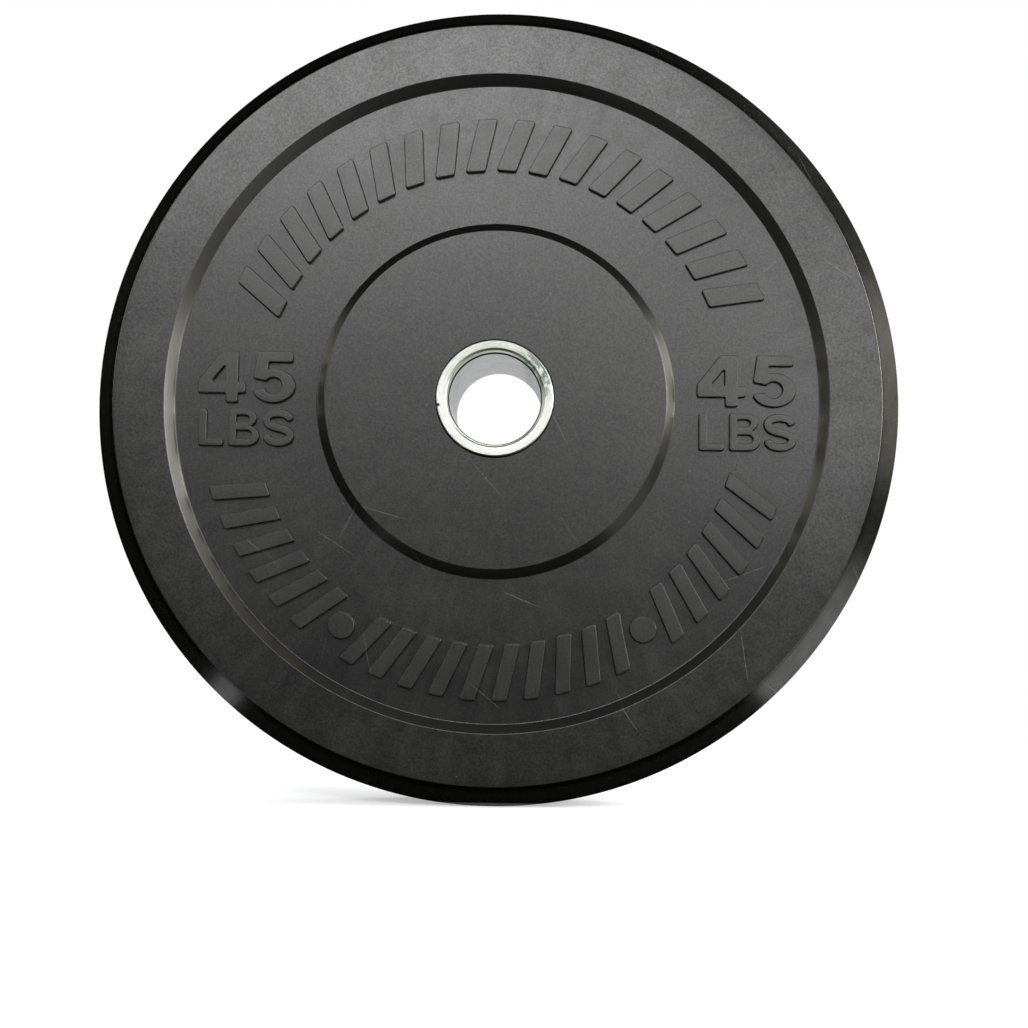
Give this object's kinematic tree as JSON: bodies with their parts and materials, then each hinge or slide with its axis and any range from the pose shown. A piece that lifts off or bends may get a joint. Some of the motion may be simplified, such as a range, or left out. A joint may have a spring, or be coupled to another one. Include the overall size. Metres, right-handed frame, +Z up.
{
  "type": "bumper plate",
  "caption": "Round rubber bumper weight plate with chamfered tread, raised rim and hub, sunk web and a bevelled steel sleeve that slides on a barbell.",
  "frame": {"origin": "centre of the bore, half way through the plate's thickness; the plate stands on its tread, whose lowest line is one tread radius below the origin", "axes": "+Y along the bore from the front face to the rear face, +Z up, +X to the right seen from the front"},
  "size_m": [0.4496, 0.0752, 0.4496],
  "materials": {
    "black_rubber": "satin black moulded rubber, glossier on the chamfers",
    "zinc_steel": "turned and zinc plated, faint greenish passivation",
    "plain_steel": "plain mild steel, bonded in rubber"
  },
  "bodies": {
    "root": {"rubber_disc": "black_rubber", "hub_sleeve": "zinc_steel", "anchor_flange": "plain_steel", "flange_weld_front": "plain_steel", "flange_weld_rear": "plain_steel"}
  },
  "joints": []
}
